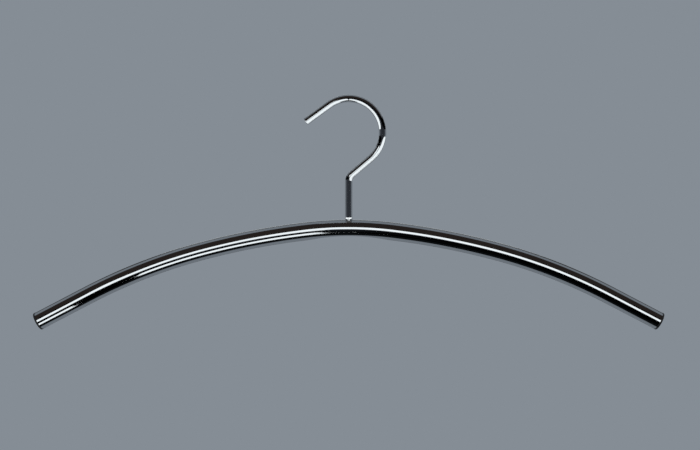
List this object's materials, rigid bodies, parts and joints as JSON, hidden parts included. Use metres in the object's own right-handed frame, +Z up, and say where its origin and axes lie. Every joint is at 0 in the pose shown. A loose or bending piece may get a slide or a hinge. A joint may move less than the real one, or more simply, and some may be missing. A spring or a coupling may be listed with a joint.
{
  "type": "clothes hanger",
  "caption": "Arched clothes hanger of bent chromed round tube with a swivelling open wire hook and black plastic end plugs.",
  "frame": {"origin": "the hook's seat: the point under the crown of the hook, on the swivel axis, that rests on the rail", "axes": "+X along the bar, to the right when the hook opens to the left; +Y to the back; +Z up along the swivel axis as the hanger hangs"},
  "size_m": [0.45, 0.013, 0.1668],
  "materials": {
    "chromed_wire": "bright chrome plating on drawn steel wire",
    "chromed_tube": "bright chrome plating on bent steel tube",
    "chromed_bush": "bright chrome plating on turned steel",
    "plated_washer": "plain zinc-plated steel",
    "black_plastic": "moulded black polyethylene, satin"
  },
  "bodies": {
    "hook": {"hook": "chromed_wire"},
    "bar": {"bar_tube": "chromed_tube", "swivel_bush": "chromed_bush", "rivet_washer": "plated_washer", "end_cap_left": "black_plastic", "end_cap_right": "black_plastic"}
  },
  "joints": [
    {"name": "hook_swivel", "type": "hinge", "parent": "hook", "child": "bar", "pos_m": [0, 0, -0.0896], "axis": [0, 0, 1], "continuous": true}
  ]
}
